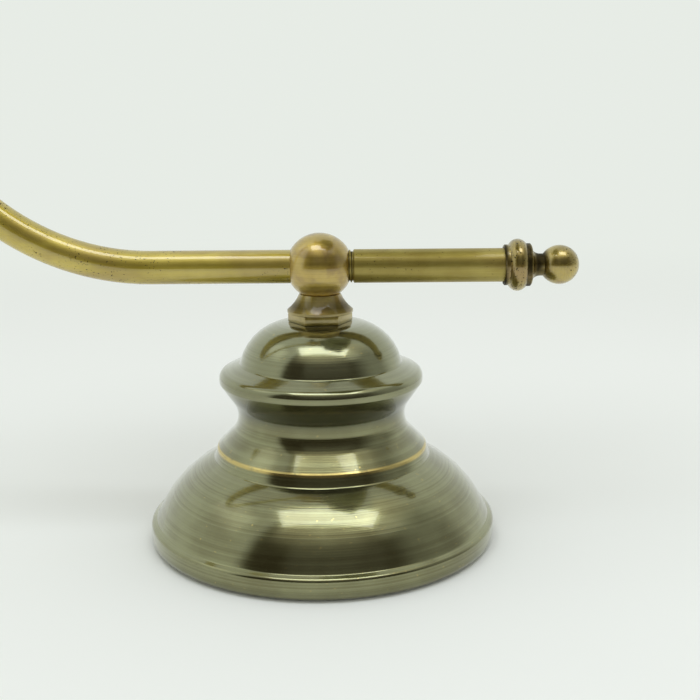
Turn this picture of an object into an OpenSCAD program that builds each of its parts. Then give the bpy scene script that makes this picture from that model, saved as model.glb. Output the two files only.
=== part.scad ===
// Wall lamp with a spun canopy, a swivelling swan-neck arm, a switched lampholder and a small shade.
// Frame: the wall is the plane y = 0, the lamp stands out towards -Y, and +Z is up.
// The origin is the centre of the canopy's back, on the wall. Lengths are in millimetres.

/* [Canopy] */
// Diameter over the rim
canopy_d = 105.4; // [98:0.2:125]
// Height from the wall to the flat top of the dome
canopy_h = 66.5; // [62:0.5:80]
// Thickness of the spun sheet
canopy_wall = 1; // [0.6:0.1:1.4]
// Diameter where the dome's side line meets its top plane
dome_top_d = 42.2; // [36:0.2:47]
// Diameter of the dome's foot, at the crease with the brim
dome_foot_d = 49; // [44:0.2:54]
// Height of the dome's foot above the wall
dome_foot_h = 54.1; // [52:0.1:58]
// Radius of the dome's shoulder
dome_round = 15.7; // [6:0.1:18]
// Radius in the corner at the dome's foot
dome_foot_round = 0.8; // [0.3:0.1:1.5]
// Diameter of the brim
brim_d = 61.6; // [56:0.2:66]
// Height of the brim's top edge above the wall
brim_h = 51.6; // [50:0.1:53]
// Height of the brim's edge
brim_edge = 2.9; // [2.6:0.1:4]
// Radius of the brim's upper corner
brim_round = 2.6; // [1:0.1:2.8]
// Radius of the brim's lower corner
brim_under_round = 1.3; // [0.3:0.1:1.6]
// Diameter at which the two slopes of the cove would meet
cove_d = 46.1; // [40:0.1:52]
// Height of the cove above the wall
cove_h = 37.4; // [34:0.1:42]
// Radius of the cove
cove_round = 7.8; // [4:0.1:9]
// Diameter of the sharp step below the cove
step_d = 63.8; // [58:0.2:68]
// Height of that step above the wall
step_h = 28.6; // [27:0.1:31]
// Radius of the step's worn edge
step_round = 0.5; // [0.2:0.1:1]
// Diameter at the foot of the riser below the step
riser_d = 65.8; // [64:0.2:66]
// Height of the riser's foot above the wall
riser_foot_h = 25.2; // [23.5:0.1:26]
// Radius in the corner at the riser's foot
riser_round = 1.2; // [0.4:0.1:1.6]
// Diameter at which the two slopes of the bell would meet
bell_d = 89.2; // [84:0.2:92]
// Height at which those slopes would meet
bell_h = 19.8; // [17:0.1:22]
// Radius of the bell
bell_round = 34; // [20:0.5:34]
// Height of the bell's foot above the wall
bell_foot_h = 7.2; // [7:0.1:9]
// Radius in the corner at the bell's foot
bell_foot_round = 0.9; // [0.5:0.1:3]
// Width of the sloping ledge between the bell's foot and the rim's edge
rim_ledge = 1.8; // [1.5:0.1:4]
// Height of the rim's side
rim_h = 6.3; // [5:0.1:6.5]
// Radius of the rim's front edge
rim_round = 1.2; // [0.6:0.1:2]
// Radius of the rim where it rolls under
hem_round = 2.4; // [1.5:0.1:3]
// Width of the hem that lies on the wall
hem = 4.5; // [3.5:0.1:6]

/* [Neck and swivel] */
// Width across the flats of the neck's hexagon
hex_af = 17.5; // [16:0.1:20]
// Height of the hexagon
hex_h = 3; // [2:0.1:5]
// Turn of the hexagon from square with the arm, in degrees
hex_turn = 5; // [0:1:29]
// Diameter of the round collar on the hexagon
collar_d = 19.8; // [18.4:0.1:22]
// Height of that collar
collar_h = 1; // [0.6:0.1:1.6]
// Diameter of the neck where it cups the ball
neck_top_d = 12.5; // [12.2:0.1:13.4]
// Radius of the neck's hollow flare
neck_flare = 4.6; // [2.5:0.1:6]
// Depth of the threaded socket in the neck
neck_socket = 4.6; // [4:0.1:5.2]
// Outside diameter of the hollow swivel stud
stud_d = 7; // [6.4:0.1:7.2]
// Bore of the swivel stud
stud_bore = 4.8; // [4.6:0.1:5]
// Thickness of the stud's foot flange
stud_flange = 1; // [0.8:0.1:1.6]
// Thickness of the friction washer over that flange
friction_t = 0.3; // [0.2:0.05:0.5]
// Diameter of the pin that stops the swing
stop_d = 1; // [0.8:0.1:1.1]
// Distance of the stop pin from the swivel axis
stop_out = 5.15; // [5:0.05:5.2]
// Swing of the arm to either side, in degrees
swing = 165; // [90:1:168]

/* [Ball and arm] */
// Diameter of the ball joint
ball_d = 20; // [19:0.2:23]
// Height of the ball's centre above the canopy's top
ball_rise = 16.5; // [16:0.1:18]
// Outside diameter of the lamp tube
tube_d = 10; // [9:0.1:11]
// Wall of the lamp tube
tube_wall = 1; // [0.8:0.1:1.4]
// Distance from the ball's centre at which each tube ends inside it
tube_stop = 4; // [3.5:0.1:5]
// Straight length of the arm, from the ball's centre to the bend
arm_straight = 50; // [30:1:90]
// Radius of the swan neck's half circle, at the tube's centre
arm_bend = 74; // [70:1:110]
// Straight length of tube after the bend
arm_drop = 12; // [9:1:40]

/* [Tail and finial] */
// Distance from the ball's centre to the finial's edge
finial_at = 54.7; // [35:0.1:80]
// Depth of the socket that takes the tube
finial_socket = 4.2; // [3:0.1:5]
// Diameter of the finial's skirt at its edge
skirt_d = 12.1; // [12:0.1:14]
// Length of the skirt up to the bead's middle
skirt_l = 4; // [3.6:0.1:5]
// Diameter of the bead
bead_d = 15.5; // [15:0.1:18]
// Radius of the bead's round edge
bead_round = 2.9; // [2.2:0.1:3.2]
// Diameter of the step ring after the bead
step_ring_d = 12.7; // [11:0.1:14]
// Distance from the finial's edge to the end of the step ring
step_ring_end = 8; // [7.4:0.1:8.6]
// Least diameter of the waist
waist_d = 6.6; // [5.4:0.1:8]
// Radius of the waist's hollow
waist_round = 2.6; // [2:0.1:3]
// Diameter of the end knob
knob_d = 11.7; // [11:0.1:14]
// Distance from the finial's edge to the knob's centre
knob_at = 16.5; // [15.6:0.1:18]

/* [Wall bracket] */
// Thickness of the strap
strap_t = 1.5; // [1.2:0.1:2.5]
// Width of the strap
strap_w = 18; // [17:0.5:22]
// Height of the bridge's underside above the wall
bridge_h = 42; // [41:0.5:43]
// Half the width over the two legs
leg_out = 14.5; // [14.2:0.1:16]
// Reach of each foot from the centre
foot_out = 43; // [40:0.5:45]
// Outer radius of the strap's bends
strap_round = 2.8; // [2.6:0.1:3.4]
// Distance between the centres of the two screw slots
slot_spacing = 62; // [60:1:64]
// Width of a screw slot
slot_w = 4.6; // [3.6:0.1:5.6]
// Length of a screw slot over its round ends
slot_l = 11; // [8:0.5:12]
// Outside diameter of the threaded stem
stem_d = 10; // [9.6:0.1:10.4]
// Bore of the threaded stem
stem_bore = 6; // [5.2:0.1:7]
// Length of stem below the lower nut
stem_tail = 2; // [1.5:0.1:2.5]
// Width across the flats of the stem's nuts
nut_af = 14; // [13:0.5:16]
// Thickness of a stem nut
nut_t = 3; // [2.5:0.1:4]
// Diameter of the toothed lock washer
lock_d = 17; // [16:0.5:18]
// Thickness of the lock washer
lock_t = 0.8; // [0.6:0.1:1.2]
// Number of teeth on the lock washer
lock_teeth = 12; // [8:1:16]
// Distance of the earth screw from the centre
earth_out = 20; // [19.4:0.1:20.5]
// Diameter of the earth screw
earth_d = 4; // [3:0.1:4.4]
// Diameter of the earth screw's head
earth_head_d = 6.6; // [6:0.1:7]
// Height of the earth screw's head
earth_head_h = 2.6; // [2:0.1:3.2]

/* [Wiring] */
// Diameter of the two-core lead
lead_d = 4.4; // [3.6:0.1:4.5]
// Length of lead that hangs below the stem
sheath_tail = 8; // [6:0.5:10]
// Radius of the lead's turn inside the ball
lead_turn = 4.5; // [4.2:0.1:4.6]
// Diameter of one insulated core
core_d = 1.8; // [1.4:0.1:2]
// Length of the terminal block
block_l = 18; // [16:0.5:20]
// Height of the terminal block
block_h = 12; // [10:0.5:14]
// Distance between its two terminals
pole_gap = 9; // [8:0.5:9.5]
// Diameter of a terminal tube
pole_d = 4.6; // [4.2:0.1:5]
// Bore of a terminal tube
pole_bore = 2.8; // [2.4:0.1:3]
// Diameter of a terminal screw
clamp_screw_d = 2.6; // [2.2:0.1:3]
// Diameter of the screws that hold the block between the legs
block_screw_d = 3; // [2.6:0.1:3.2]
// Depth of such a screw in the block
block_screw_l = 5; // [3:0.5:7]
// Diameter of that screw's head
block_screw_head_d = 5.6; // [5:0.1:6]
// Height of that screw's head
block_screw_head_h = 2; // [1.6:0.1:2.4]

/* [Lampholder] */
// Diameter of the boss that takes the arm's thread
boss_d = 15; // [14:0.2:18]
// Length of the arm's thread inside the boss
boss_socket = 8; // [6:0.5:9]
// Depth of the boss below the cap's top
boss_floor = 3; // [2:0.5:4]
// Diameter of the cap over its skirt
cap_d = 39.2; // [38:0.2:42]
// Height of the cap
cap_h = 26; // [25:0.5:30]
// Diameter of the cap's shoulder
cap_shoulder_d = 30; // [26:0.5:33]
// Fall of the cap from its shoulder to its skirt
cap_fall = 10; // [6:0.5:11]
// Radius of the cap's shoulder and skirt corners
cap_round = 6; // [2:0.5:7]
// Thickness of the cap's sheet
cap_wall = 1; // [0.6:0.1:1.4]
// Diameter of the grub screw in the boss
grub_d = 4; // [3:0.1:5]
// Length of sleeve inside the cap
sleeve_spigot = 6; // [4:0.5:7]
// Wall of the sleeve
sleeve_wall = 1; // [0.8:0.1:1.4]
// Diameter of the sleeve's shade thread
thread_d = 39.6; // [38.8:0.1:41]
// Length of the sleeve below the cap
sleeve_l = 24; // [22:0.5:30]
// Thickness of the lip that carries the insulator
lip_t = 1; // [0.8:0.1:2]
// Width of that lip
lip_w = 2.4; // [1.5:0.1:3]
// Bore of the bulb's screw shell
socket_d = 26.6; // [26:0.1:27.4]
// Wall of the screw shell
socket_wall = 0.4; // [0.3:0.1:0.6]
// Length of the screw shell
socket_l = 18; // [16:0.5:19]
// Thickness of the insulator's floor
insulator_floor = 7; // [5:0.5:8]
// Diameter of the centre contact
contact_d = 6; // [5:0.1:7]
// Height of the centre contact
contact_h = 1.5; // [1:0.1:2]

/* [Switch] */
// Diameter of the switch's case
case_d = 30; // [27:0.5:31]
// Height of the switch's case
case_h = 11; // [10:0.5:12]
// Distance of the spindle below the cap's top
spindle_drop = 15; // [14.4:0.1:16]
// Diameter of the spindle
spindle_d = 4; // [3:0.1:4.4]
// Depth of the spindle inside the case
spindle_depth = 8; // [5:0.5:10]
// Gap between the cap and the key's hub
hub_gap = 1.4; // [1:0.1:3]
// Diameter of the key's hub
hub_d = 8.4; // [7.4:0.1:10]
// Length of the key's hub
hub_l = 4; // [3:0.1:6]
// Length of the key's wing beyond its hub
wing_l = 11; // [8:0.5:14]
// Width of the key's wing
wing_w = 14; // [11:0.5:16]
// Thickness of the key's wing
wing_t = 3; // [2.4:0.1:4]
// Turn of the key between off and on, in degrees
key_turn = 90; // [45:5:90]

/* [Shade] */
// Diameter of the shade over its rim
shade_d = 130; // [120:1:138]
// Height of the shade from its collar to its rim
shade_h = 60; // [54:0.5:80]
// Thickness of the shade's sheet
shade_wall = 1; // [0.6:0.1:1.4]
// Distance of the shade's collar below the cap's skirt
shade_drop = 10; // [6.5:0.5:14]
// Diameter of the collar
collar_top_d = 56; // [53:0.5:62]
// Diameter at the foot of the collar
collar_foot_d = 60; // [56:0.5:64]
// Depth of the collar
collar_depth = 8; // [6:0.5:10]
// Radius of the collar's edge
collar_round = 4; // [1:0.1:5]
// Diameter at which the shade's two slopes would meet
belly_d = 100; // [92:0.5:106]
// Depth at which those slopes would meet
belly_depth = 12; // [10:0.5:16]
// Radius of the belly
belly_round = 20; // [10:0.5:24]
// Diameter of the belly's foot, above the flared rim
belly_foot_d = 120; // [112:0.5:124]
// Height of the belly's foot above the rim
flare_h = 14; // [10:0.5:18]
// Height of the rim's edge
shade_rim_h = 4; // [3:0.1:6]
// Width of the hem turned in at the rim
shade_hem = 2.2; // [1.6:0.1:3]
// Diameter of the two shade rings
ring_d = 48; // [46:0.5:48.5]
// Height of a shade ring
ring_h = 4; // [3:0.1:5]
// Number of finger grips round a shade ring
ring_grips = 16; // [8:1:24]
// Diameter of a finger grip
grip_d = 3; // [2:0.1:4]

/* [Fits] */
// Radial clearance of threads, presses and seats
fit_gap = 0.05; // [0.03:0.01:0.1]
// Radial clearance of parts that turn
run_gap = 0.05; // [0.02:0.01:0.1]
// Clearance between the ball and its cup, and between moving faces
cup_gap = 0.25; // [0.15:0.05:0.3]
// Angle left between the stop pin and its stop, in degrees
stop_gap = 1; // [0.5:0.5:1.5]
// Clearance round a hole that a part only passes through
pass_gap = 0.4; // [0.2:0.1:0.8]

/* [Hidden] */
$fn = 96;
// Angle between the points of an arc, in degrees
arc_step = 6;
// Share of a side that its fillets may use when they are limited by it
side_share = 0.98;
// Overlap of a cutting tool past the face that it cuts
past = 1;

// Places along the canopy's axis, measured out from the wall
neck_top = canopy_h + neck_socket;
ball_out = canopy_h + ball_rise;
ball_r = ball_d / 2;
tube_r = tube_d / 2;
cup_r = ball_r + cup_gap;
neck_rim = ball_out - sqrt(cup_r * cup_r - neck_top_d * neck_top_d / 4);
flange_top = neck_top - friction_t - 2 * run_gap;
flange_foot = flange_top - stud_flange;
stem_top = flange_foot - cup_gap;
lead_split = stem_top;
stem_foot = bridge_h - nut_t - stem_tail;
stud_top = ball_out - lead_turn - cup_gap;
flange_r = stem_d / 2 + fit_gap - pass_gap / 2;

// The groove that the stop pin runs in
groove_wall = pass_gap / 2;
groove_floor = ball_out - sqrt(cup_r * cup_r - stop_out * stop_out) - stop_d;
stop_top = groove_floor + groove_wall + stop_out;
stop_half = asin(stop_d / 2 / stop_out);
groove_sweep = 2 * (swing + stop_half + stop_gap);

// Places of the lampholder's pieces, measured up from the end of the arm's tube
holder_out = ball_out + 2 * arm_bend;
arm_end_z = arm_straight - arm_drop;
lead_hole_r = lead_d / 2 + pass_gap;
cap_edge = -cap_h;
spigot_r = cap_d / 2 - cap_wall - fit_gap;
sleeve_bore_r = spigot_r - sleeve_wall;
sleeve_top = cap_edge + sleeve_spigot;
sleeve_foot = cap_edge - sleeve_l;
insulator_foot = sleeve_foot + lip_t + fit_gap;
insulator_r = sleeve_bore_r - fit_gap;
socket_top = insulator_foot + socket_l + contact_h + pass_gap;
insulator_top = socket_top + insulator_floor;
shell_out_r = socket_d / 2 + socket_wall;
case_foot = insulator_top + fit_gap;
case_top = case_foot + case_h;
spindle_in = case_d / 2 - spindle_depth;
hub_in = cap_d / 2 + hub_gap;
hub_out = hub_in + hub_l;
spindle_out = hub_out;
shade_top = cap_edge - shade_drop;

// Places of the wiring inside the canopy
leg_in = leg_out - strap_t;
block_half = leg_in - fit_gap;
core_in = core_d / 2 + run_gap;
core_shift = pole_gap / 2 - core_in;
sheath_foot = stem_foot - sheath_tail;
block_top = sheath_foot - core_shift;
block_mid = block_top - block_h / 2;

// Outlines as corners: [radius, height, fillet], followed with the outside on the left
canopy_corners = [
    [tube_r + pass_gap, canopy_h, 0],
    [dome_top_d / 2, canopy_h, dome_round],
    [dome_foot_d / 2, dome_foot_h, dome_foot_round],
    [brim_d / 2, brim_h, brim_round],
    [brim_d / 2, brim_h - brim_edge, brim_under_round],
    [cove_d / 2, cove_h, cove_round],
    [step_d / 2, step_h, step_round],
    [riser_d / 2, riser_foot_h, riser_round],
    [bell_d / 2, bell_h, bell_round],
    [canopy_d / 2 - rim_ledge, bell_foot_h, bell_foot_round],
    [canopy_d / 2, rim_h, rim_round],
    [canopy_d / 2, 0, hem_round],
    [canopy_d / 2 - hem, 0, 0]
];
cap_corners = [
    [lead_hole_r, 0, 0],
    [cap_shoulder_d / 2, 0, cap_round],
    [cap_d / 2, -cap_fall, cap_round],
    [cap_d / 2, cap_edge, 0]
];
shade_corners = [
    [thread_d / 2 + pass_gap, shade_top, 0],
    [collar_top_d / 2, shade_top, collar_round],
    [collar_foot_d / 2, shade_top - collar_depth, collar_round / 2],
    [belly_d / 2, shade_top - belly_depth, belly_round],
    [belly_foot_d / 2, shade_top - shade_h + flare_h, collar_round],
    [shade_d / 2, shade_top - shade_h + shade_rim_h, collar_round / 2],
    [shade_d / 2, shade_top - shade_h, shade_wall],
    [shade_d / 2 - shade_hem, shade_top - shade_h, 0]
];
strap_corners = [
    [-foot_out, strap_t, 0],
    [-leg_out, strap_t, strap_round],
    [-leg_out, bridge_h + strap_t, strap_round],
    [leg_out, bridge_h + strap_t, strap_round],
    [leg_out, strap_t, strap_round],
    [foot_out, strap_t, 0]
];

// Finishes, by eye from the photograph
bronze = [0.33, 0.31, 0.22];
brass = [0.72, 0.6, 0.28];
old_brass = [0.5, 0.42, 0.22];
zinc = [0.66, 0.67, 0.68];
porcelain = [0.9, 0.88, 0.82];
bakelite = [0.12, 0.1, 0.08];

// Plane geometry of the outlines
function place(c) = [c[0], c[1]];
function unit(v) = v / norm(v);
function to_right(v) = [v[1], -v[0]];
function heading(c, i) = unit(place(c[i + 1]) - place(c[i]));
function is_end(c, i) = i == 0 || i == len(c) - 1;
function turn(c, i) = let (a = heading(c, i - 1), b = heading(c, i))
    atan2(a[0] * b[1] - a[1] * b[0], a * b);
// Length of side that a corner's fillet asks for
function tangent(c, i) = is_end(c, i) ? 0 : c[i][2] * tan(abs(turn(c, i)) / 2);
// Share of their radius that the fillets at both ends of the side from i to i + 1 keep when it is too short
function room(c, i) = let (
        asked = tangent(c, i) + tangent(c, i + 1),
        side = norm(place(c[i + 1]) - place(c[i])))
    asked > side_share * side ? side_share * side / asked : 1;
function fillet(c, i) = c[i][2] * min(room(c, i - 1), room(c, i));
// A corner of the outline moved to its right by t
function moved(c, i, t) = let (
        a = to_right(heading(c, max(i - 1, 0))),
        b = to_right(heading(c, min(i, len(c) - 2))))
    place(c[i]) + t * (a + b) / (1 + a * b);
function arc_points(p, a, angle, r) = let (
        side = sign(angle),
        start = p - r * tan(abs(angle) / 2) * a,
        centre = start - side * r * to_right(a),
        steps = max(1, ceil(abs(angle) / arc_step)))
    [for (k = [0 : steps]) let (w = angle * k / steps, from = start - centre)
        centre + [from[0] * cos(w) - from[1] * sin(w), from[0] * sin(w) + from[1] * cos(w)]];
function outline(c, t = 0) = [for (i = [0 : len(c) - 1]) each is_end(c, i) ? [moved(c, i, t)]
    : let (w = turn(c, i), r = fillet(c, i) + sign(w) * t)
        r > 0 ? arc_points(moved(c, i, t), heading(c, i - 1), w, r) : [moved(c, i, t)]];
function back_to_front(p) = [for (i = [len(p) - 1 : -1 : 0]) p[i]];
// A sheet of thickness t whose outside is the outline
function sheet(c, t) = concat(outline(c), back_to_front(outline(c, t)));

// Local frames: +z out from the wall, the ball's centre with +z along the arm, and the end of the arm's tube
module from_wall(d = 0) { translate([0, -d, 0]) rotate([90, 0, 0]) children(); }
module at_ball() { translate([0, -ball_out, 0]) children(); }
module at_holder() { translate([0, -holder_out, arm_end_z]) children(); }
module along_x(x = 0) { translate([x, 0, 0]) rotate([0, 90, 0]) children(); }
module in_arm_plane() { rotate([90, 0, 90]) children(); }

// A cylinder between two heights
module rod(r, z0, z1) { translate([0, 0, z0]) cylinder(r = r, h = z1 - z0); }
// A tube between two heights
module pipe(r_out, r_in, z0, z1) {
    difference() {
        rod(r_out, z0, z1);
        rod(r_in, z0 - past, z1 + past);
    }
}
// A hexagon between two heights, given across its flats
module hexagon(af, z0, z1) { translate([0, 0, z0]) cylinder(d = af / cos(30), h = z1 - z0, $fn = 6); }
module wire_arc(r, bend, angle) { rotate_extrude(angle = angle) translate([bend, 0]) circle(r); }
// A wire that starts at the origin along +z, and ends along +z after as much shift towards -x as rise
module s_wire(shift, r) {
    bend = shift / 2;
    module half() { translate([-bend, 0, 0]) rotate([90, 0, 0]) wire_arc(r, bend, 90); }
    half();
    translate([-shift, 0, shift]) rotate([0, 180, 0]) half();
}
module spun(corners, t) { rotate_extrude() polygon(sheet(corners, t)); }
// A profile in the half plane right of the axis, turned about it
module turned() { rotate_extrude() children(); }

// Pieces on the wall

module slot(z0, z1) {
    run = slot_l - slot_w;
    for (side = [-1, 1]) translate([side * run / 2, 0, 0]) rod(slot_w / 2, z0, z1);
    translate([-run / 2, -slot_w / 2, z0]) cube([run, slot_w, z1 - z0]);
}

module wall_bracket() {
    color(zinc) difference() {
        linear_extrude(height = strap_w, center = true)
            polygon([for (p = sheet(strap_corners, strap_t)) [p[0], -p[1]]]);
        from_wall() {
            for (side = [-1, 1]) translate([side * slot_spacing / 2, 0, 0]) slot(-past, strap_t + past);
            rod(stem_d / 2 + fit_gap, bridge_h - past, bridge_h + strap_t + past);
            translate([-earth_out, 0, 0]) rod(earth_d / 2 + fit_gap, -past, strap_t + past);
            translate([0, 0, block_mid]) along_x()
                rod(block_screw_d / 2 + fit_gap, -leg_out - past, leg_out + past);
        }
    }
}

module stem_nuts() {
    upper = bridge_h + strap_t + lock_t;
    color(brass) from_wall() for (foot = [bridge_h - nut_t, upper]) difference() {
        hexagon(nut_af, foot, foot + nut_t);
        rod(stem_d / 2 + fit_gap, foot - past, foot + nut_t + past);
    }
}

module lock_washer() {
    foot = bridge_h + strap_t;
    color(zinc) from_wall() difference() {
        pipe(lock_d / 2, stem_d / 2 + fit_gap, foot, foot + lock_t);
        for (k = [0 : lock_teeth - 1]) rotate(k * 360 / lock_teeth)
            translate([nut_af / 2, -lock_t / 2, foot - past]) cube([lock_d, lock_t, lock_t + 2 * past]);
    }
}

module earth_screw() {
    color(brass) from_wall() translate([-earth_out, 0, 0]) difference() {
        union() {
            rod(earth_d / 2, run_gap, strap_t);
            rod(earth_head_d / 2, strap_t, strap_t + earth_head_h);
        }
        translate([-earth_head_d, -earth_d / 8, strap_t + earth_head_h / 2])
            cube([2 * earth_head_d, earth_d / 4, earth_head_h]);
    }
}

module threaded_stem() {
    color(zinc) from_wall() pipe(stem_d / 2, stem_bore / 2, stem_foot, stem_top);
}

module canopy() {
    color(bronze) from_wall() spun(canopy_corners, canopy_wall);
}

module stop_groove() {
    rotate(-groove_sweep / 2) rotate_extrude(angle = groove_sweep)
        translate([stop_out - stop_d / 2 - groove_wall, groove_floor])
            square([stop_d + 2 * groove_wall, ball_r]);
}

module swivel_neck() {
    collar_foot = canopy_h + hex_h;
    collar_top = collar_foot + collar_h;
    color(old_brass) from_wall() difference() {
        union() {
            rotate(30 + hex_turn) hexagon(hex_af, canopy_h, collar_foot);
            rod(collar_d / 2, collar_foot, collar_top);
            rod(neck_top_d / 2, canopy_h, collar_top);
            turned() difference() {
                translate([0, collar_top]) square([collar_d / 2, neck_rim - collar_top]);
                translate([neck_top_d / 2 + neck_flare, neck_rim]) circle(neck_flare);
            }
        }
        translate([0, 0, ball_out]) sphere(cup_r);
        rod(stem_d / 2 + fit_gap, canopy_h - past, neck_top);
        rod(stud_d / 2 + run_gap, neck_top - past, ball_out);
        stop_groove();
    }
}

module friction_washer() {
    color(zinc) from_wall() pipe(flange_r, stud_d / 2 + run_gap, flange_top + run_gap, neck_top - run_gap);
}

// Each terminal's axis, with local +y towards the block's long side
module each_pole() {
    for (side = [0, 1]) mirror([0, side, 0]) translate([0, pole_gap / 2, 0]) children();
}

// The two clamp screws of one terminal, one towards each end of its tube
module each_clamp() {
    for (step = [-1, 1]) translate([0, 0, block_mid + step * block_h / 4]) rotate([-90, 0, 0]) children();
}

module terminal_block() {
    color(porcelain) from_wall() difference() {
        translate([-block_half, -block_l / 2, block_mid - block_h / 2])
            cube([2 * block_half, block_l, block_h]);
        each_pole() {
            rod(pole_d / 2 + fit_gap, block_mid - block_h, block_mid + block_h);
            each_clamp() rod(clamp_screw_d / 2 + fit_gap, 0, block_l);
        }
        for (side = [0, 1]) mirror([side, 0, 0]) translate([0, 0, block_mid]) along_x()
            rod(block_screw_d / 2 + fit_gap, block_half - block_screw_l - fit_gap, leg_out);
    }
}

module terminal_tubes() {
    color(brass) from_wall() each_pole() difference() {
        pipe(pole_d / 2, pole_bore / 2, block_mid - block_h / 2, block_mid + block_h / 2);
        each_clamp() rod(clamp_screw_d / 2 + fit_gap, 0, block_l);
    }
}

module terminal_screws() {
    color(brass) from_wall() each_pole() each_clamp()
        rod(clamp_screw_d / 2, pole_bore / 2 + fit_gap, (block_l - pole_gap) / 2 - clamp_screw_d / 4);
}

module block_screws() {
    seat = leg_out + fit_gap;
    color(zinc) from_wall() for (side = [0, 1]) mirror([side, 0, 0]) translate([0, 0, block_mid]) along_x() {
        rod(block_screw_d / 2, block_half - block_screw_l, seat + block_screw_head_h);
        rod(block_screw_head_d / 2, seat, seat + block_screw_head_h);
    }
}

module supply_lead() {
    color(bakelite) from_wall() {
        for (side = [-1, 1]) translate([0, side * pole_gap / 2, block_top]) rotate(side * 90)
            s_wire(core_shift, core_d / 2);
        rod(lead_d / 2, sheath_foot, lead_split);
    }
}

// Pieces on the arm

module swivel_stud() {
    color(brass) from_wall() difference() {
        union() {
            rod(flange_r, flange_foot, flange_top);
            rod(stud_d / 2, flange_foot, stud_top);
        }
        rod(stud_bore / 2, flange_foot - past, stud_top + past);
    }
}

module stop_pin() {
    color(zinc) from_wall() translate([stop_out, 0, 0])
        rod(stop_d / 2, groove_floor + groove_wall, stop_top);
}

module ball_joint() {
    color(old_brass) difference() {
        at_ball() sphere(ball_r);
        at_ball() rod(tube_r + fit_gap, -ball_d, ball_d);
        from_wall() {
            rod(stud_d / 2 + fit_gap, neck_top, ball_out);
            translate([stop_out, 0, 0]) rod(stop_d / 2 + run_gap, neck_top, stop_top);
        }
    }
}

module swan_neck(r, z0, z1) {
    at_ball() rod(r, z0, arm_straight);
    translate([0, -ball_out - arm_bend, arm_straight]) in_arm_plane() wire_arc(r, arm_bend, 180);
    at_holder() rod(r, z1, arm_drop);
}

module arm_tube() {
    color(brass) difference() {
        swan_neck(tube_r, tube_stop, 0);
        swan_neck(tube_r - tube_wall, tube_stop - past, -past);
    }
}

module tail_tube() {
    color(brass) at_ball() pipe(tube_r, tube_r - tube_wall, fit_gap - finial_at - finial_socket, -tube_stop);
}

module finial() {
    knob_r = knob_d / 2;
    color(old_brass) at_ball() translate([0, 0, -finial_at]) mirror([0, 0, 1]) difference() {
        turned() intersection() {
            square([bead_d, knob_at + knob_d]);
            union() {
                square([skirt_d / 2, skirt_l]);
                translate([bead_d / 2 - bead_round, skirt_l]) circle(bead_round);
                translate([0, skirt_l]) square([step_ring_d / 2, step_ring_end - skirt_l]);
                difference() {
                    square([waist_d / 2 + waist_round / 2, knob_at]);
                    translate([waist_d / 2 + waist_round, step_ring_end + waist_round]) circle(waist_round);
                }
                translate([0, knob_at]) circle(knob_r);
            }
        }
        rod(tube_r + fit_gap, -past, finial_socket);
    }
}

module arm_lead() {
    color(bakelite) {
        from_wall() rod(lead_d / 2, lead_split, ball_out - lead_turn);
        translate([0, lead_turn - ball_out, lead_turn]) in_arm_plane() rotate(180)
            wire_arc(lead_d / 2, lead_turn, 90);
        swan_neck(lead_d / 2, lead_turn, case_top);
    }
}

// Pieces of the lampholder

module holder_cap() {
    color(old_brass) at_holder() difference() {
        union() {
            spun(cap_corners, cap_wall);
            rod(boss_d / 2, -boss_floor, boss_socket);
        }
        rod(tube_r + fit_gap, 0, boss_socket + past);
        rod(lead_hole_r, -boss_floor - past, past);
        translate([0, 0, boss_socket / 2]) rotate([0, -90, 0]) rod(grub_d / 2 + fit_gap, 0, boss_d);
        translate([0, 0, -spindle_drop]) along_x(spindle_in) rod(spindle_d / 2 + pass_gap, 0, cap_d);
    }
}

module grub_screw() {
    color(zinc) at_holder() translate([0, 0, boss_socket / 2]) rotate([0, -90, 0])
        rod(grub_d / 2, tube_r + 2 * fit_gap, boss_d / 2);
}

module switch_case() {
    color(bakelite) at_holder() difference() {
        rod(case_d / 2, case_foot, case_top);
        translate([0, 0, -spindle_drop]) along_x(spindle_in) rod(spindle_d / 2 + run_gap, 0, case_d);
    }
}

module holder_sleeve() {
    color(old_brass) at_holder() difference() {
        union() {
            rod(spigot_r, cap_edge - fit_gap, sleeve_top);
            rod(thread_d / 2, sleeve_foot, cap_edge - fit_gap);
        }
        rod(sleeve_bore_r, sleeve_foot + lip_t, sleeve_top + past);
        rod(sleeve_bore_r - lip_w, sleeve_foot - past, sleeve_top);
    }
}

module insulator() {
    color(porcelain) at_holder() difference() {
        rod(insulator_r, insulator_foot, insulator_top);
        rod(shell_out_r + fit_gap, insulator_foot - past, socket_top);
    }
}

module screw_shell() {
    color(brass) at_holder() pipe(shell_out_r, socket_d / 2, insulator_foot, insulator_foot + socket_l);
}

module centre_contact() {
    color(brass) at_holder() rod(contact_d / 2, socket_top - contact_h, socket_top);
}

module shade_ring(z0) {
    color(old_brass) at_holder() difference() {
        pipe(ring_d / 2, thread_d / 2 + fit_gap, z0, z0 + ring_h);
        for (k = [0 : ring_grips - 1]) rotate(k * 360 / ring_grips)
            translate([ring_d / 2 + grip_d / 4, 0, 0]) rod(grip_d / 2, z0 - past, z0 + ring_h + past);
    }
}

module upper_shade_ring() { shade_ring(shade_top); }

module shade() {
    color(bronze) at_holder() spun(shade_corners, shade_wall);
}

module lower_shade_ring() { shade_ring(shade_top - shade_wall - ring_h); }

// Pieces that turn with the switch

module switch_spindle() {
    color(zinc) at_holder() translate([0, 0, -spindle_drop]) along_x()
        rod(spindle_d / 2, spindle_in + cup_gap, spindle_out);
}

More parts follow.
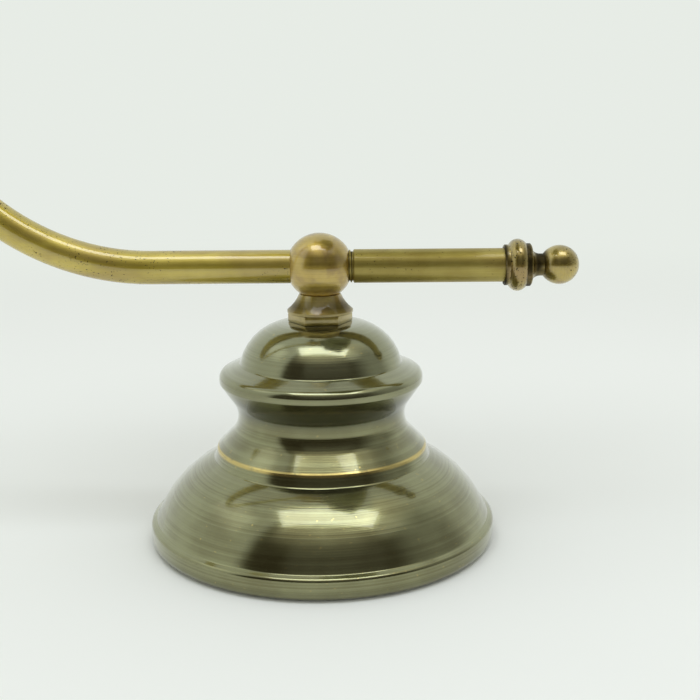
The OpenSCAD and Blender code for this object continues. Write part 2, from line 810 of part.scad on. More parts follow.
module switch_key() {
    color(bakelite) at_holder() translate([0, 0, -spindle_drop]) difference() {
        union() {
            along_x() rod(hub_d / 2, hub_in, hub_out);
            rotate([90, 0, 0]) linear_extrude(height = wing_t, center = true) intersection() {
                translate([hub_out - wing_t, -wing_w / 2]) square([wing_l + wing_t, wing_w]);
                translate([hub_out + wing_l - wing_w / 2, 0]) circle(wing_w / 2);
            }
        }
        along_x() rod(spindle_d / 2 + fit_gap, hub_in - past, spindle_out + fit_gap);
    }
}

wall_bracket();
stem_nuts();
lock_washer();
earth_screw();
threaded_stem();
canopy();
swivel_neck();
friction_washer();
terminal_block();
terminal_tubes();
terminal_screws();
block_screws();
supply_lead();
swivel_stud();
stop_pin();
ball_joint();
arm_tube();
tail_tube();
finial();
arm_lead();
holder_cap();
grub_screw();
switch_case();
holder_sleeve();
insulator();
screw_shell();
centre_contact();
upper_shade_ring();
shade();
lower_shade_ring();
switch_spindle();
switch_key();
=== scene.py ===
# %% [markdown]
# A brass wall lamp with a swivel arm. The CAD model comes in first and stays as it is: every
# piece below is made in its metres, at its place, and rides on one of its three bodies.

# %% The packed model as a fixed frame
from math import acos, asin, atan2, cos, hypot, pi, radians, sin, sqrt, tan

import bmesh
import bpy
from mathutils import Matrix, Vector


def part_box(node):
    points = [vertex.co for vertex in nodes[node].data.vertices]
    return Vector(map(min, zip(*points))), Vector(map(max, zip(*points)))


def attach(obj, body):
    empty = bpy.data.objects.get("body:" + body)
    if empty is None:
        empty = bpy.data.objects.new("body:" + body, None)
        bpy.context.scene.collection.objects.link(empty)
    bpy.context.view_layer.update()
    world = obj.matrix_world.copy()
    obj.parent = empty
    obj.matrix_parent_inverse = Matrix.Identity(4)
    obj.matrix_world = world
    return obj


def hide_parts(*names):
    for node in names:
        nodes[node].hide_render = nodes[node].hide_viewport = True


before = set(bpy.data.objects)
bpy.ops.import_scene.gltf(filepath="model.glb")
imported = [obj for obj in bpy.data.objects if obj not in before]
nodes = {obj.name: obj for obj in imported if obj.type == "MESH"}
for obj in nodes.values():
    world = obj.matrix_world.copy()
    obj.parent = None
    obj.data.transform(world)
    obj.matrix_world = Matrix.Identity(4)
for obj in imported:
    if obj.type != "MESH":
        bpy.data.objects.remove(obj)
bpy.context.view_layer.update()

MM = 0.001
X_AXIS, Y_AXIS, Z_AXIS = Vector((1, 0, 0)), Vector((0, 1, 0)), Vector((0, 0, 1))

# %% [markdown]
# The lamp was photographed lying on its back, standing on its canopy, so the wall of the CAD
# model is the table of the picture: the picture's up is -Y, its right is -Z, and the camera
# stands on the -X side. The lens could be set by eye. Its focal length was fitted to the
# canopy's rings instead, and is written in pixels of a 700 pixel picture.

# %% The camera
PICTURE_SIDE = 700
FOCAL_PIXELS = 1100
EYE = Vector((-324.33, -130.88, -8.84)) * MM
TILT, ROLL = radians(12.76), radians(-0.45)

camera = bpy.data.cameras.new("camera")
camera.lens = camera.sensor_width * FOCAL_PIXELS / PICTURE_SIDE
viewer = bpy.data.objects.new("camera", camera)
bpy.context.collection.objects.link(viewer)
ahead = Vector((cos(TILT), sin(TILT), 0))
level_right, level_up = -Z_AXIS, Vector((sin(TILT), -cos(TILT), 0))
right = cos(ROLL) * level_right + sin(ROLL) * level_up
up = cos(ROLL) * level_up - sin(ROLL) * level_right
turned_to = Matrix((right, up, -ahead)).transposed()
viewer.matrix_world = Matrix.Translation(EYE) @ turned_to.to_4x4()
bpy.context.scene.camera = viewer
bpy.context.scene.view_settings.view_transform = "Standard"
print("lens", round(camera.lens, 2), "mm")

# %% [markdown]
# Finishes are trees of shader nodes. Written out node by node they would fill pages, so one
# small class stands for a number that changes over a surface: adding or multiplying two of
# them adds the Math node. Every other node comes from one method that takes the node's type,
# its settings and what goes into its sockets.

# %% A number that changes over a surface
class Value:
    """A socket that carries a number, a colour or a vector."""

    def __init__(self, finish, socket):
        self.finish, self.socket = finish, socket

    def math(self, operation, *given):
        return self.finish.node("ShaderNodeMath", {"operation": operation}, dict(enumerate(given)))

    def __add__(self, other):
        return self.math("ADD", self, other)

    def __radd__(self, other):
        return self.math("ADD", other, self)

    def __sub__(self, other):
        return self.math("SUBTRACT", self, other)

    def __rsub__(self, other):
        return self.math("SUBTRACT", other, self)

    def __mul__(self, other):
        return self.math("MULTIPLY", self, other)

    def __rmul__(self, other):
        return self.math("MULTIPLY", other, self)

    def __pow__(self, other):
        return self.math("POWER", self, other)

    def __rpow__(self, other):
        return self.math("POWER", other, self)

    def larger(self, other):
        return self.math("MAXIMUM", self, other)

    def ramp(self, start, end):
        """0 below start, 1 above end, and smooth between them; start may be the larger."""
        return self.finish.node("ShaderNodeMapRange", {"interpolation_type": "SMOOTHSTEP"},
                                {0: self, 1: start, 2: end})


print("Value:", Value.__doc__)

# %% The nodes of a finish
class Finish:
    """The nodes of a material, or of the world."""

    def __init__(self, owner, output="ShaderNodeOutputMaterial"):
        owner.use_nodes = True
        self.owner, self.tree = owner, owner.node_tree
        self.tree.nodes.clear()
        self.output = self.tree.nodes.new(output)

    def node(self, kind, settings=None, sockets=None, out=0):
        made = self.tree.nodes.new(kind)
        for name, setting in (settings or {}).items():
            setattr(made, name, setting)
        for name, given in (sockets or {}).items():
            if isinstance(given, Value):
                self.tree.links.new(given.socket, made.inputs[name])
            else:
                made.inputs[name].default_value = given
        return Value(self, made.outputs[out])

    def place(self):
        """Object coordinates, in metres from the lamp's origin."""
        return self.node("ShaderNodeTexCoord", out="Object")

    def split(self, vector):
        return [self.node("ShaderNodeSeparateXYZ", None, {0: vector}, out) for out in range(3)]

    def vector(self, x, y, z=0.0):
        return self.node("ShaderNodeCombineXYZ", None, {0: x, 1: y, 2: z})

    def noise(self, vector, size, detail, rough=0.5):
        """Cloudy noise from 0 to 1 whose clouds are about as large as size, in metres."""
        return self.node("ShaderNodeTexNoise", None,
                         {"Vector": vector, "Scale": 1 / size, "Detail": detail, "Roughness": rough})

    def mix(self, factor, first, second):
        """The first colour where factor is 0, the second where it is 1."""
        return self.node("ShaderNodeMix", {"data_type": "RGBA"}, {0: factor, 6: first, 7: second}, 2)

    def bump(self, height, distance):
        return self.node("ShaderNodeBump", None, {"Height": height, "Distance": distance})

    def surface(self, **sockets):
        """The Principled shader; a socket's name is written with _ for its spaces."""
        named = {name.replace("_", " "): given for name, given in sockets.items()}
        self.show(self.node("ShaderNodeBsdfPrincipled", None, named))
        return self.owner

    def show(self, shader):
        self.tree.links.new(shader.socket, self.output.inputs["Surface"])


def rgb(red, green, blue):
    return (red, green, blue, 1.0)


print("Finish:", Finish.__doc__)

# %% [markdown]
# A mesh is worked on as a bmesh and becomes an object once. The operators give back mixed lists
# of points, edges and faces, so three short functions pick out what the next operator needs.

# %% Helpers for meshes
SAME = 1e-6


def verts_of(geom):
    return [item for item in geom if isinstance(item, bmesh.types.BMVert)]


def edges_of(geom):
    return [item for item in geom if isinstance(item, bmesh.types.BMEdge)]


def faces_of(geom):
    return [item for item in geom if isinstance(item, bmesh.types.BMFace)]


def face_out(bm, inside_out):
    """Turns an open skin's faces round if the test says that they point inwards."""
    if inside_out:
        bmesh.ops.reverse_faces(bm, faces=bm.faces[:])


def close_up(bm):
    """Merges points that lie together and makes the faces point outwards."""
    bmesh.ops.remove_doubles(bm, verts=bm.verts[:], dist=SAME)
    bmesh.ops.recalc_face_normals(bm, faces=bm.faces[:])


def mesh_object(name, bm, *finishes):
    """Makes a bmesh an object at the origin."""
    mesh = bpy.data.meshes.new(name)
    bm.to_mesh(mesh)
    bm.free()
    for finish in finishes:
        mesh.materials.append(finish)
    thing = bpy.data.objects.new(name, mesh)
    bpy.context.collection.objects.link(thing)
    return thing


def put_on_stage(name, bm, finish):
    thing = mesh_object(name, bm, finish)
    return thing


print("points closer than", SAME / MM, "mm are merged")

# %% [markdown]
# The stage is a table top and the air around it, in nearly the same pale green-white, so that
# no horizon shows. The air could be one plain colour. Here the camera, and the rays that come
# off metal and glass, see it a little paler than it shines, so that the backdrop is pale
# without more light on the lamp.

# %% The air
AIR, BACKDROP = rgb(0.725, 0.745, 0.715), rgb(0.80, 0.84, 0.79)

air = Finish(bpy.data.worlds.new("pale_air"), "ShaderNodeOutputWorld")
by_camera, by_metal, by_glass = (air.node("ShaderNodeLightPath", out=f"Is {ray} Ray")
                                 for ray in ("Camera", "Glossy", "Transmission"))
air_tone = air.mix(by_camera.larger(by_metal).larger(by_glass), AIR, BACKDROP)
air.show(air.node("ShaderNodeBackground", None, {"Color": air_tone}))
bpy.context.scene.world = air.owner
print("made", air.owner.name)

# %% [markdown]
# The table could be a plain disc, but the lamp's open back is looked at through it. So it is
# clear from behind, and a ring whose hole under the canopy lets light into that back. Far from
# the lamp it fades into the air's colour.

# %% The table's finish
TABLE_WHITE = rgb(0.93, 0.94, 0.915)
FADE_NEAR, FADE_FAR = 0.28, 0.75

table_finish = Finish(bpy.data.materials.new("table"))
far_off = table_finish.node("ShaderNodeVectorMath", {"operation": "LENGTH"},
                            {0: table_finish.place()}, "Value").ramp(FADE_NEAR, FADE_FAR)
paper = table_finish.node("ShaderNodeBsdfDiffuse", None, {"Color": TABLE_WHITE})
glow = table_finish.node("ShaderNodeEmission", None, {"Color": BACKDROP})
front = table_finish.node("ShaderNodeMixShader", None, {0: far_off, 1: paper, 2: glow})
clear = table_finish.node("ShaderNodeBsdfTransparent")
behind = table_finish.node("ShaderNodeNewGeometry", out="Backfacing")
table_finish.show(table_finish.node("ShaderNodeMixShader", None, {0: behind, 1: front, 2: clear}))
print("made", table_finish.owner.name)

# %% The table
TABLE_R, TABLE_HOLE, TABLE_SIDES = 2.0, 0.048, 64
TABLE_GAP = 0.3 * MM

bm = bmesh.new()
lying = Matrix.Translation((0, TABLE_GAP, 0)) @ Matrix.Rotation(pi / 2, 4, "X")
bmesh.ops.create_circle(bm, cap_ends=False, segments=TABLE_SIDES, radius=TABLE_HOLE, matrix=lying)
grown = bmesh.ops.extrude_edge_only(bm, edges=bm.edges[:])["geom"]
wider = TABLE_R / TABLE_HOLE
bmesh.ops.scale(bm, verts=verts_of(grown), vec=(wider, 1, wider))
bmesh.ops.recalc_face_normals(bm, faces=bm.faces[:])
face_out(bm, next(iter(bm.faces)).normal.y > 0)
put_on_stage("table", bm, table_finish.owner)
print("the table is", 2 * TABLE_R, "m wide")

# %% [markdown]
# Polished metal shows its surroundings, so the surroundings are part of the finish. The canopy
# mirrors pale sides and a dark middle, with a bright patch on its left and right. A room could
# be built wall by wall, but only its tone in each direction shows, so one curved card does,
# which the camera itself doesn't see. It is an upright edge spun round the lamp.

# %% The card's shape
CARD_R, CARD_STEPS = 0.95, 40
CARD_FROM, CARD_TO = -115, 115
CARD_LOW, CARD_HIGH = 2, 68


def direction(turn, rise):
    """Out from the lamp: turn goes to the picture's right and rise to its top, in degrees."""
    turn, rise = radians(turn), radians(rise)
    level = cos(turn) * -X_AXIS + sin(turn) * -Z_AXIS
    return cos(rise) * level + sin(rise) * -Y_AXIS


card_bm = bmesh.new()
foot = CARD_R * direction(CARD_FROM, 0)
ends = [card_bm.verts.new(foot - CARD_R * tan(radians(rise)) * Y_AXIS) for rise in (CARD_LOW, CARD_HIGH)]
edge = card_bm.edges.new(ends)
bmesh.ops.spin(card_bm, geom=[*ends, edge], cent=(0, 0, 0), axis=-Y_AXIS, dvec=(0, 0, 0),
               angle=radians(CARD_TO - CARD_FROM), steps=CARD_STEPS, use_merge=False)
print("the card has", len(card_bm.faces), "faces")

# %% [markdown]
# The card's tone comes from two angles: how far to the right a point lies, seen from the lamp,
# and how high. A patch of light is a ramp in one angle times a ramp in the other, so its edges
# are as soft as its ramps are long.

# %% The card's tones
CARD_DARK, CARD_TOP, WINDOW = rgb(0.058, 0.049, 0.030), rgb(1.0, 0.97, 0.80), rgb(1.35, 1.40, 1.32)
LEFT_PAPER = -50, -62
RIGHT_PAPER, RIGHT_END, RIGHT_GREY = (45, 85), (95, 115), 0.45
DOORWAY, DOORWAY_RISE, DOORWAY_GREY = (-30, -20, 40, 55), (8, 40), 0.14
LEFT_WINDOW, LEFT_WINDOW_RISE, LEFT_BRIGHT = (-140, -130, -80, -70), (33, 44, 52, 60), 0.8
RIGHT_WINDOW, RIGHT_WINDOW_RISE, RIGHT_BRIGHT = (46, 60, 76, 86), (42, 50, 58, 66), 0.45
TOP_GLOW, TOP_GLOW_RISE = (-58, -40), (40, CARD_HIGH)


def past(angle, start, end):
    """0 before start and 1 past end, two angles in degrees."""
    return angle.ramp(radians(start), radians(end))


def between(angle, start, full, fade, end):
    """1 from full to fade, and 0 outside start and end, four angles in degrees."""
    return past(angle, start, full) * past(angle, end, fade)


card_finish = Finish(bpy.data.materials.new("dark_card"))
x, y, z = card_finish.split(card_finish.place())
turn, rise = z.math("ARCTAN2", z * -1, x * -1), y.math("ARCTANGENT", y * (-1 / CARD_R))
right_paper = RIGHT_GREY * past(turn, *RIGHT_PAPER) + RIGHT_GREY * past(turn, *RIGHT_END)
doorway = DOORWAY_GREY * between(turn, *DOORWAY) * past(rise, *DOORWAY_RISE)
left_window = LEFT_BRIGHT * between(turn, *LEFT_WINDOW) * between(rise, *LEFT_WINDOW_RISE)
right_window = RIGHT_BRIGHT * between(turn, *RIGHT_WINDOW) * between(rise, *RIGHT_WINDOW_RISE)
top_glow = past(rise, *TOP_GLOW_RISE) * past(turn, *TOP_GLOW)
tone = card_finish.mix(past(turn, *LEFT_PAPER) + right_paper + doorway, CARD_DARK, BACKDROP)
tone = card_finish.mix(left_window + right_window, tone, WINDOW)
tone = card_finish.mix(top_glow, tone, CARD_TOP)
card_finish.show(card_finish.node("ShaderNodeEmission", None, {"Color": tone}))
card = put_on_stage("dark_card", card_bm, card_finish.owner)
card.visible_camera = card.visible_diffuse = card.visible_shadow = False
print("made", card_finish.owner.name, "with", len(card_finish.tree.nodes), "nodes")

# %% [markdown]
# Above the card hangs one soft lamp. A point lamp would make small hard glints. An area light
# gives soft light and the broad bright patch that each moulding mirrors, and its long side
# lies level in the picture.

# %% The soft lamp
LAMP_TURN, LAMP_RISE, LAMP_AWAY = 14, 77, 0.95
LAMP_W, LAMP_H = 0.84, 0.30
LAMP_POWER, LAMP_COLOUR = 2.45, (0.90, 0.95, 1.0)

soft_lamp = bpy.data.lights.new("soft_lamp", "AREA")
soft_lamp.shape = "RECTANGLE"
soft_lamp.size, soft_lamp.size_y = LAMP_W, LAMP_H
soft_lamp.energy, soft_lamp.color = LAMP_POWER, LAMP_COLOUR
lamp_at = bpy.data.objects.new("soft_lamp", soft_lamp)
bpy.context.collection.objects.link(lamp_at)
out = direction(LAMP_TURN, LAMP_RISE)
level = X_AXIS.cross(out).normalized()
lamp_at.location = LAMP_AWAY * out
lamp_at.rotation_euler = Matrix((level, out.cross(level), out)).transposed().to_euler()
lamp_at.visible_camera = False
print("the soft lamp is at", [round(c, 2) for c in lamp_at.location])

# %% [markdown]
# Nearly every piece of the lamp is turned or spun, so one helper does the work of a lathe. Its
# profile is a chain of edges beside the axis: straight lines, and arcs that come from spinning
# one vertex about the arc's centre. A rounded corner is two lines and the arc between them.

# %% The profile beside the axis
PROFILE_STEP, STRAIGHT = radians(9), 1e-3


def sweep(bm, tip, centre, axis, angle, steps):
    """Spins one vertex about centre, which leaves an arc of edges, and returns the arc's end."""
    spun = bmesh.ops.spin(bm, geom=[tip], cent=centre, axis=axis, dvec=(0, 0, 0), angle=angle,
                          steps=steps, use_merge=False)
    return verts_of(spun["geom_last"])[0]


class Profile:
    """A turning axis, and the profile that is being drawn beside it, in millimetres."""

    def __init__(self, start, along, outward=X_AXIS):
        self.start, self.along, self.outward = Vector(start), Vector(along), outward
        self.bm = bmesh.new()
        self.tip = self.here = None

    def at(self, r, h):
        return self.start + (r * self.outward + h * self.along) * MM

    def begin(self, r, h):
        self.tip, self.here = self.bm.verts.new(self.at(r, h)), (r, h)
        return self

    def line(self, *points):
        for r, h in points:
            if hypot(r - self.here[0], h - self.here[1]) > SAME:
                corner = self.bm.verts.new(self.at(r, h))
                self.bm.edges.new((self.tip, corner))
                self.tip, self.here = corner, (r, h)
        return self

    def arc(self, centre, angle):
        """Goes round centre by angle, which is positive from the radius towards the axis's end."""
        steps = max(2, round(abs(angle) / PROFILE_STEP))
        across = self.outward.cross(self.along)
        self.tip = sweep(self.bm, self.tip, self.at(*centre), across, angle, steps)
        r, h = self.here[0] - centre[0], self.here[1] - centre[1]
        self.here = (centre[0] + r * cos(angle) - h * sin(angle),
                     centre[1] + r * sin(angle) + h * cos(angle))
        return self

    def rounded(self, corners):
        """A line through corners of (radius, height, rounding)."""
        self.begin(*corners[0][:2])
        for before, corner, after in zip(corners, corners[1:], corners[2:]):
            coming = Vector((corner[0] - before[0], corner[1] - before[1])).normalized()
            going = Vector((after[0] - corner[0], after[1] - corner[1])).normalized()
            angle = atan2(coming.x * going.y - coming.y * going.x, coming.dot(going))
            back = corner[2] * tan(abs(angle) / 2)
            self.line((corner[0] - back * coming.x, corner[1] - back * coming.y))
            if corner[2] > 0 and abs(angle) > STRAIGHT:
                side = corner[2] if angle > 0 else -corner[2]
                self.arc((self.here[0] - side * coming.y, self.here[1] + side * coming.x), angle)
        return self.line(corners[-1][:2])


print("an arc steps by", round(PROFILE_STEP, 3), "radians")

# %% [markdown]
# Spinning the profile once round the axis makes the skin of a turned piece. A screw thread is a
# small profile that moves along the axis while it is spun, with both ends filled.

# %% The lathe
TURN_STEPS, SMALL_STEPS, THREAD_STEPS = 128, 96, 48


class Lathe(Profile):
    """A profile that is turned into a skin or a thread."""

    def turn(self, steps=TURN_STEPS):
        """Spins the profile once round the axis and makes its faces point outwards."""
        bmesh.ops.spin(self.bm, geom=[*self.bm.verts, *self.bm.edges], cent=self.start, axis=self.along,
                       dvec=(0, 0, 0), angle=2 * pi, steps=steps, use_merge=True)
        close_up(self.bm)
        return self.bm

    def helix(self, points, pitch, turns, ridge=True, steps=THREAD_STEPS):
        """Spins a small profile along a screw line; a ridge is closed all round and at its ends."""
        corners = [self.bm.verts.new(self.at(r, h)) for r, h in points]
        pairs = zip(corners, corners[1:] + corners[:1] if ridge else corners[1:])
        sides = [self.bm.edges.new(pair) for pair in pairs]
        spun = bmesh.ops.spin(self.bm, geom=corners + sides, cent=self.start, axis=self.along,
                              dvec=self.along * (pitch * MM / steps), angle=2 * pi * turns,
                              steps=round(steps * turns), use_merge=False)["geom_last"]
        if ridge:
            for end in (sides, edges_of(spun)):
                bmesh.ops.edgeloop_fill(self.bm, edges=end)
        close_up(self.bm)
        return self.bm


print("the lathe turns in", TURN_STEPS, "steps, and in", SMALL_STEPS, "for small pieces")

# %% [markdown]
# A finished piece is smooth with sharp corners, rides on one of the lamp's bodies, takes its
# finishes and stands for the CAD node whose place it has, which is hidden.

# %% Finished pieces
SHARP = radians(38)


def make(name, bm, body, finishes, node):
    """Turns a bmesh into a finished piece that rides on a body and stands for a CAD node."""
    piece = mesh_object(name, bm, *finishes)
    piece.data.shade_smooth()
    piece.data.set_sharp_from_angle(angle=SHARP)
    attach(piece, body)
    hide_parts(node)
    size = [round(s / MM, 1) for s in piece.dimensions]
    print(name, len(piece.data.vertices), "vertices", len(piece.data.polygons), "faces", size, "mm")


# %% [markdown]
# The canopy's axis runs out of the wall, the arm and tail lie across it through the ball, and
# the lampholder hangs at the arm's far end. These places could be written as numbers. They are
# read from the CAD boxes, so that a changed size in the CAD model moves the pieces too.

# %% The lamp's axes
BOSS_SOCKET = 8
ball_low, ball_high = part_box("ball_joint")
shell_low, shell_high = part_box("screw_shell")
cap_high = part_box("holder_cap")[1]
ball_r = ball_high.x / MM
ball_out = -ball_low.y / MM - ball_r
holder_out = -(shell_low.y + shell_high.y) / 2 / MM
arm_end = cap_high.z / MM - BOSS_SOCKET
tube_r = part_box("tail_tube")[1].x / MM

BALL = Vector((0, -ball_out, 0)) * MM
HOLDER = Vector((0, -holder_out, arm_end)) * MM


def from_wall():
    return Lathe((0, 0, 0), -Y_AXIS)


def from_ball():
    return Lathe(BALL, -Y_AXIS)


def along_tail():
    return Lathe(BALL, -Z_AXIS)


def at_holder():
    return Lathe(HOLDER, Z_AXIS)


print("ball", round(ball_r, 2), "at", round(ball_out, 2), "lampholder at", round(holder_out, 2), "mm")

# %% [markdown]
# Wear and dirt follow the lathe: an edge rubs bright all round, and a groove keeps its dirt all
# round. They could be painted on each mesh. A ring written as radius, height and width does the
# same on any turned piece, because the shader can work out how far a point is from it.

# %% Rings round an axis
FULL_SHARE = 0.25


def round_axis(finish, start, along_y):
    """Radius and height about an axis along Y or Z through start, in metres."""
    x, y, z = finish.split(finish.place())
    across = z - start.z if along_y else y - start.y
    height = -1 * y if along_y else z - start.z
    return (x * x + across * across) ** 0.5, height


def near_rings(radius, height, rings):
    """1 on rings of (radius, height, width) in millimetres, and 0 away from them."""
    near = 0.0
    for r, h, width in rings:
        away = ((radius - r * MM) ** 2 + (height - h * MM) ** 2) ** 0.5
        near = near + away.ramp(width * MM, FULL_SHARE * width * MM)
    return near


print("a ring is full within", FULL_SHARE, "of its width")

# %% [markdown]
# Old brass is not one colour. The spun canopy is patinated to a dark olive bronze, lacquered,
# and worn to yellow metal on its sharpest edge. It is a little lighter towards its foot. Its
# dome is painted paler and greyer, a painted sheen that stands in for the dome's reflection,
# and its cove and the rim's foot beside the table get a painted shade. Its lathe lines run
# round the axis. A picture of old metal could be wrapped round it, but would show a seam; noise
# that is read from radius and height only has none. The lacquer is the shader's coat.

# %% Dark bronze
BRONZE_DARK, BRONZE_LIGHT = rgb(0.144, 0.131, 0.051), rgb(0.266, 0.268, 0.134)
# The colours of the dome's painted sheen and of the painted shade.
BRONZE_PAINTED_SHEEN, BRONZE_PAINTED_SHADE = rgb(0.295, 0.305, 0.178), rgb(0.085, 0.086, 0.042)
WORN_GOLD = rgb(0.58, 0.46, 0.17)
LINE_FINE, LINE_WIDE = 0.45 * MM, 1.6 * MM
CLOUD, GRIME, SPECK = 15 * MM, 2.5 * MM, 1.0 * MM
# Height spans and shares: lighter towards the foot, and the dome's painted sheen.
LOWER_LIFT_SPAN, DOME_SHEEN_SPAN = (52 * MM, 22 * MM), (38 * MM, 56 * MM)
LOWER_LIFT, DOME_SHEEN_SHARE, DUST = 0.22, 0.5, 0.06
WORN, SPECKS, TONES, GRIMY = (0.22, 0.5), (0.68, 0.76), (0.38, 0.62), (0.5, 0.8)
BRONZE_LINE_DEPTH = 0.025 * MM


def dark_bronze(name, start, along_y, worn_edges, painted_shade_rings):
    """Lacquered bronze: worn_edges, rings, show yellow metal, and the last rings a painted shade."""
    bronze = Finish(bpy.data.materials.new(name))
    place = bronze.place()
    radius, height = round_axis(bronze, start, along_y)
    section = bronze.vector(radius, height)
    fine = bronze.noise(section, LINE_FINE, 2)
    wide = bronze.noise(section, LINE_WIDE, 2)
    cloud = bronze.noise(place, CLOUD, 4)
    grime = bronze.noise(place, GRIME, 5, 0.7)
    speck = bronze.noise(place, SPECK, 2).ramp(*SPECKS)
    worn = (near_rings(radius, height, worn_edges) * grime.ramp(*WORN)).larger(0.5 * speck)
    # Where the rings of painted shade lie: darker, and fully metallic.
    hollow = near_rings(radius, height, painted_shade_rings)
    lines = (0.25 * wide + 0.45 * cloud + 0.3 * fine).ramp(*TONES)
    # A little lighter towards the canopy's foot, and all over the shade.
    tone = 0.75 * lines + LOWER_LIFT * height.ramp(*LOWER_LIFT_SPAN)
    skin = bronze.mix(tone, BRONZE_DARK, BRONZE_LIGHT)
    # A painted sheen: paler and greyer towards the canopy's dome, for the dome's reflection.
    skin = bronze.mix(DOME_SHEEN_SHARE * height.ramp(*DOME_SHEEN_SPAN), skin, BRONZE_PAINTED_SHEEN)
    skin = bronze.mix(hollow, skin, BRONZE_PAINTED_SHADE)
    return bronze.surface(
        Base_Color=bronze.mix(worn, skin, WORN_GOLD), Metallic=1 - DUST * (1 - hollow),
        Roughness=0.11 + 0.09 * fine + 0.06 * grime.ramp(*GRIMY),
        Coat_Weight=(0.5 + 0.5 * fine) * (1 - 0.7 * worn), Coat_Roughness=0.06, Coat_IOR=1.6,
        Normal=bronze.bump(fine + 0.4 * wide, BRONZE_LINE_DEPTH))


print("the bronze's lathe lines are", LINE_FINE / MM, "and", LINE_WIDE / MM, "mm wide")

# %% [markdown]
# Pieces that are dull all over need only two tones that a noise mixes and a roughness that
# follows it. This is for the sheet's raw inside, the wall side and the lampholder's inner parts.

# %% Plain finishes
SPECK_SHARE = 0.12


def plain(name, light, dark, metallic, rough, grain, depth):
    """grain is the size of the clouds and depth that of the bumps, in millimetres."""
    finish = Finish(bpy.data.materials.new(name))
    place = finish.place()
    cloud = finish.noise(place, grain * MM, 4)
    speck = finish.noise(place, SPECK_SHARE * grain * MM, 3)
    tone = (0.65 * cloud + 0.35 * speck).ramp(0.35, 0.65)
    return finish.surface(Base_Color=finish.mix(tone, dark, light), Metallic=metallic,
                          Roughness=rough + 0.16 * speck, Normal=finish.bump(speck, depth * MM))


raw_sheet = plain("raw_sheet", rgb(0.36, 0.27, 0.10), rgb(0.17, 0.13, 0.06),
                  metallic=1.0, rough=0.42, grain=9, depth=0.02)
cream_paint = plain("cream_paint", rgb(0.80, 0.77, 0.68), rgb(0.70, 0.65, 0.53),
                    metallic=0.0, rough=0.32, grain=14, depth=0.015)
dark_resin = plain("dark_resin", rgb(0.060, 0.030, 0.016), rgb(0.022, 0.012, 0.008),
                   metallic=0.0, rough=0.20, grain=5, depth=0.004)
soft_brass = plain("soft_brass", rgb(0.62, 0.47, 0.17), rgb(0.46, 0.33, 0.10),
                   metallic=1.0, rough=0.26, grain=4, depth=0.006)
print("made", raw_sheet.name, cream_paint.name, dark_resin.name, soft_brass.name)

# %% [markdown]
# The canopy is one disc of sheet spun over a former: a dome, a sharp brim, a hollow cove, a
# step, a bell and a rolled rim. It could be a stack of lathe pieces, but then each joint would
# show. Its corners and their roundings make the whole profile, and the sheet gets its wall last.

# %% The canopy's profile
CANOPY_WALL, CANOPY_BORE, CANOPY_HEM = 1.0, 5.4, 4.5
CANOPY_STEP = 31.9, 28.6
# Rings of painted shade in the cove and at the rim's foot beside the table.
COVE_PAINTED_SHADE, RIM_SHADE_OUT, RIM_SHADE_AT, RIM_SHADE_W = (27.4, 43.6, 6.0), 2, 2.0, 2.6
canopy_r, canopy_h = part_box("canopy")[1].x / MM, -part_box("canopy")[0].y / MM
dome = [(CANOPY_BORE, canopy_h, 0), (21.1, canopy_h, 15.7), (24.5, 54.1, 0.8)]
brim_and_cove = [(30.8, 51.6, 2.6), (30.8, 48.7, 1.3), (23.05, 37.4, 7.8)]
step_and_bell = [(*CANOPY_STEP, 0.5), (32.9, 25.2, 1.2), (44.6, 19.8, 34)]
rolled_rim = [(canopy_r - 1.8, 7.2, 0.9), (canopy_r, 6.3, 1.2), (canopy_r, 0, 2.4),
              (canopy_r - CANOPY_HEM, 0, 0)]
canopy_corners = dome + brim_and_cove + step_and_bell + rolled_rim
print("the canopy's profile has", len(canopy_corners), "corners")

# %% The canopy
def spun_sheet(lathe, corners, wall):
    """A sheet whose outside is the profile through corners; its inside takes the second finish."""
    bm = lathe.rounded(corners).turn()
    top = max(bm.faces, key=lambda f: f.calc_center_median().dot(lathe.along))
    face_out(bm, top.normal.dot(lathe.along) < 0)
    for inner in faces_of(bmesh.ops.solidify(bm, geom=bm.faces[:], thickness=wall * MM)["geom"]):
        inner.material_index = 1
    return bm


canopy_bronze = dark_bronze("canopy_bronze", Vector(), True, worn_edges=[(*CANOPY_STEP, 1.0)],
                            painted_shade_rings=[COVE_PAINTED_SHADE, (canopy_r + RIM_SHADE_OUT, RIM_SHADE_AT, RIM_SHADE_W)])
make("canopy_spinning", spun_sheet(from_wall(), canopy_corners, CANOPY_WALL), "wall_mount",
     [canopy_bronze, raw_sheet], "canopy")

# %% [markdown]
# The rest is turned or drawn brass under a thin clear lacquer: warm, satin and clouded with
# brown tarnish, with dark dirt in the grooves and fine pits on the tubes and the finial, and a
# painted shade in the same dark colour on the neck's flare. One function makes them all,
# because they differ only in tone, gloss and the way their lines run.

# %% Brass
# The first colour is the dark of pits and grime, and of the neck's painted shade.
DIRT_AND_SHADE, TARNISH = rgb(0.045, 0.034, 0.014), rgb(0.31, 0.195, 0.065)
BRASS_CLOUD, PIT, PIT_CLUSTER, SMEAR = 9 * MM, 0.6 * MM, 16 * MM, 6 * MM
DRAWN_LINES, DRAWN_SMEAR = 0.02, 0.25
TURNED_BLOOM, DRAWN_BLOOM, BLOOMS = 0.65, 0.35, (0.47, 0.66)
PITS_FROM, PITS_FULL = 0.78, 0.84
PATCHES, BRASS_TONES = (0.2, 0.5), (0.34, 0.66)


